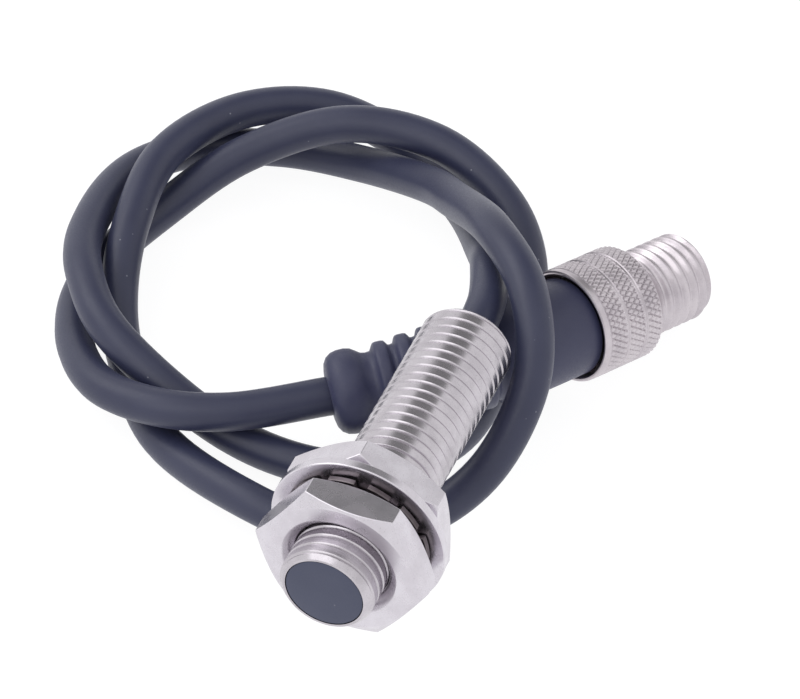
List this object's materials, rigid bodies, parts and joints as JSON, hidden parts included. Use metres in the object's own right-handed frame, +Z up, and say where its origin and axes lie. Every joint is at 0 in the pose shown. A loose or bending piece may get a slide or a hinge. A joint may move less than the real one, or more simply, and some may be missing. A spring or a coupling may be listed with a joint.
{
  "type": "inductive proximity sensor",
  "caption": "Threaded barrel sensor with a flat sensing face, mounting nuts, toothed lock washers, a coiled cable and a knurled screw plug.",
  "frame": {"origin": "centre of the sensing face", "axes": "+Y along the barrel from the sensing face to the cable end, +Z up, the barrel level"},
  "size_m": [0.0548, 0.0669, 0.0222],
  "materials": {
    "nickel": "nickel-plated brass, bright with fine turning marks",
    "spring_steel": "stamped spring steel, plated",
    "face_plastic": "matte slate plastic with a fine grain",
    "ferrite": "sintered ferrite, matte",
    "nylon": "natural nylon",
    "copper": "enamelled copper wire",
    "board": "green solder mask on glass epoxy",
    "black_moulding": "black moulded plastic",
    "capacitor": "unglazed ceramic with tinned ends",
    "resin": "dark potting resin",
    "wire_brown": "brown wire insulation",
    "wire_blue": "blue wire insulation",
    "wire_black": "black wire insulation",
    "jacket": "matte slate cable jacket with a soft sheen",
    "grip": "matte slate moulding",
    "gold": "gold-plated contact"
  },
  "bodies": {
    "sensor": {"sensor_barrel": "nickel", "sensing_face_cap": "face_plastic", "ferrite_core": "ferrite", "coil_bobbin": "nylon", "sense_coil": "copper", "circuit_board": "board", "oscillator_chip": "black_moulding", "output_transistor": "black_moulding", "smoothing_capacitor": "capacitor", "set_resistor": "black_moulding", "potting_plug": "resin", "rear_bush": "face_plastic", "wire_brown": "wire_brown", "wire_blue": "wire_blue", "wire_black": "wire_black", "cable_jacket": "jacket", "moulded_grip": "grip", "contact_carrier": "black_moulding", "contact_pin_1": "gold", "contact_pin_2": "gold", "contact_pin_3": "gold"},
    "front_washer": {"front_washer": "spring_steel"},
    "front_nut": {"front_nut": "nickel"},
    "rear_washer": {"rear_washer": "spring_steel"},
    "rear_nut": {"rear_nut": "nickel"},
    "coupling_ring": {"coupling_ring": "nickel"}
  },
  "joints": [
    {"name": "front_nut_travel", "type": "slide", "parent": "sensor", "child": "front_washer", "axis": [0, 1, 0], "range_m": [-0.003, 0]},
    {"name": "front_nut_turn", "type": "hinge", "parent": "front_washer", "child": "front_nut", "pos_m": [0, 0.0045, 0], "axis": [0, 1, 0], "range_deg": [-1080, 0]},
    {"name": "rear_nut_travel", "type": "slide", "parent": "sensor", "child": "rear_washer", "axis": [0, 1, 0], "range_m": [0, 0.008]},
    {"name": "rear_nut_turn", "type": "hinge", "parent": "rear_washer", "child": "rear_nut", "pos_m": [0, 0.0094, 0], "axis": [0, 1, 0], "range_deg": [0, 2880]},
    {"name": "coupling_ring_turn", "type": "hinge", "parent": "sensor", "child": "coupling_ring", "pos_m": [0.00686, 0.05025, -0.00942], "axis": [0.4365, 0.8823, -0.176], "continuous": true}
  ],
  "couplings": [
    {"joint": "front_nut_travel", "follows": "front_nut_turn", "m_per_rad": 0.00015915},
    {"joint": "rear_nut_travel", "follows": "rear_nut_turn", "m_per_rad": 0.00015915}
  ]
}
